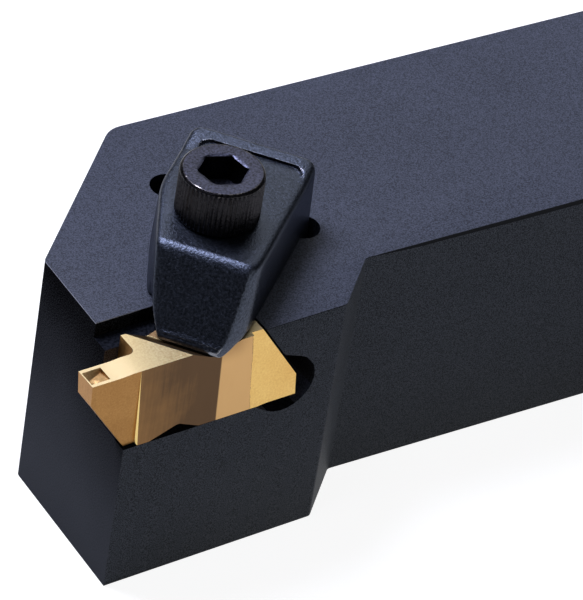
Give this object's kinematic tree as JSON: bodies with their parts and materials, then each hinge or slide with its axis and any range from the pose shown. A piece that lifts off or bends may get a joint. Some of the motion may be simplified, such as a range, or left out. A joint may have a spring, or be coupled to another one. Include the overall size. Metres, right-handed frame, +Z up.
{
  "type": "threading toolholder",
  "caption": "Square-shank lathe toolholder with an offset head, a notched on-edge threading insert and a finger clamp held by a knurled cap screw.",
  "frame": {"origin": "middle of the whole tool in plan, at the height of the flat underside that it rests on", "axes": "+X along the shank, from the cutting tip towards the tail; +Y from the insert's side towards the far side of the shank; +Z up, from the underside towards the clamp"},
  "size_m": [0.1524, 0.0318, 0.0367],
  "materials": {
    "holder_steel": "black oxide, satin, on steel",
    "insert_carbide": "gold ceramic coating on sintered carbide, satin",
    "clamp_steel": "forged and black oxide, fine grain, on steel",
    "screw_steel": "black oxide alloy steel, knurled head with worn bright rims"
  },
  "bodies": {
    "holder": {"holder": "holder_steel", "insert": "insert_carbide"},
    "clamp": {"clamp": "clamp_steel"},
    "clamp_screw": {"clamp_screw": "screw_steel"}
  },
  "joints": [
    {"name": "clamp_lift", "type": "slide", "parent": "holder", "child": "clamp", "axis": [0, 0, 1], "range_m": [0, 0.00317]},
    {"name": "screw_turn", "type": "hinge", "parent": "clamp", "child": "clamp_screw", "pos_m": [-0.05841, -0.00532, 0.0317], "axis": [0, 0, 1], "range_deg": [0, 1440]}
  ],
  "couplings": [
    {"joint": "screw_turn", "follows": "clamp_lift", "rad_per_m": 7915.8}
  ]
}
